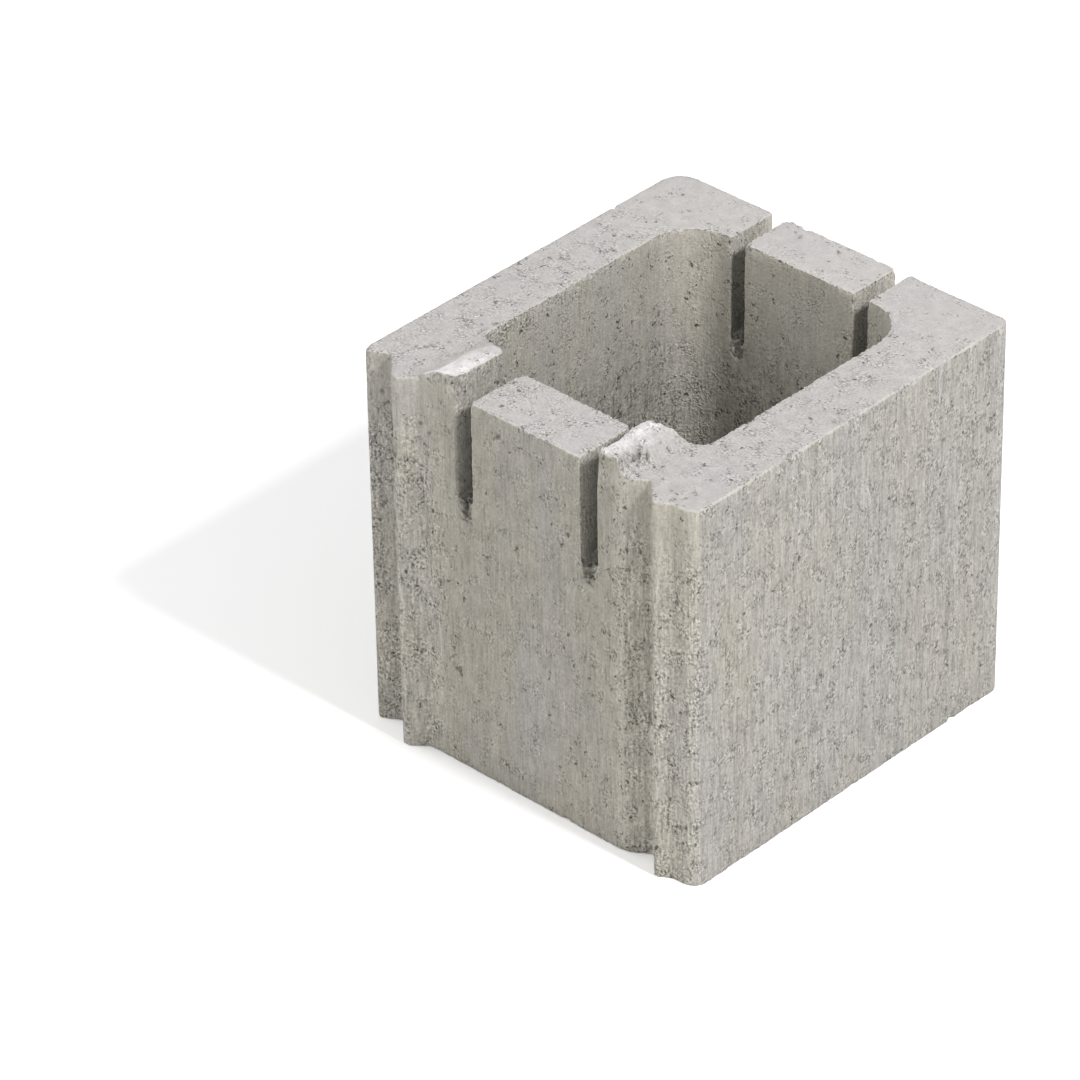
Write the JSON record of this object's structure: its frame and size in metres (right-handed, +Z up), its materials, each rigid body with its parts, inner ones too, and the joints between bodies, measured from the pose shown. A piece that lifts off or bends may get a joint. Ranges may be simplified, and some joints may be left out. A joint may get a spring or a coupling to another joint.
{
  "type": "concrete block",
  "caption": "Hollow concrete half block with a single core, knock-out web panels, locating lugs on top and a keyed end that interlocks with the next block.",
  "frame": {"origin": "on the bed face, in the middle of the block's overall box", "axes": "+Z up, +X across the block from face to face, +Y along the wall towards the plain end, away from the keyed end"},
  "size_m": [0.19, 0.206, 0.1975],
  "materials": {
    "concrete": "pressed dense concrete, warm light grey, rough and pitted"
  },
  "bodies": {
    "root": {"block": "concrete"}
  },
  "joints": []
}
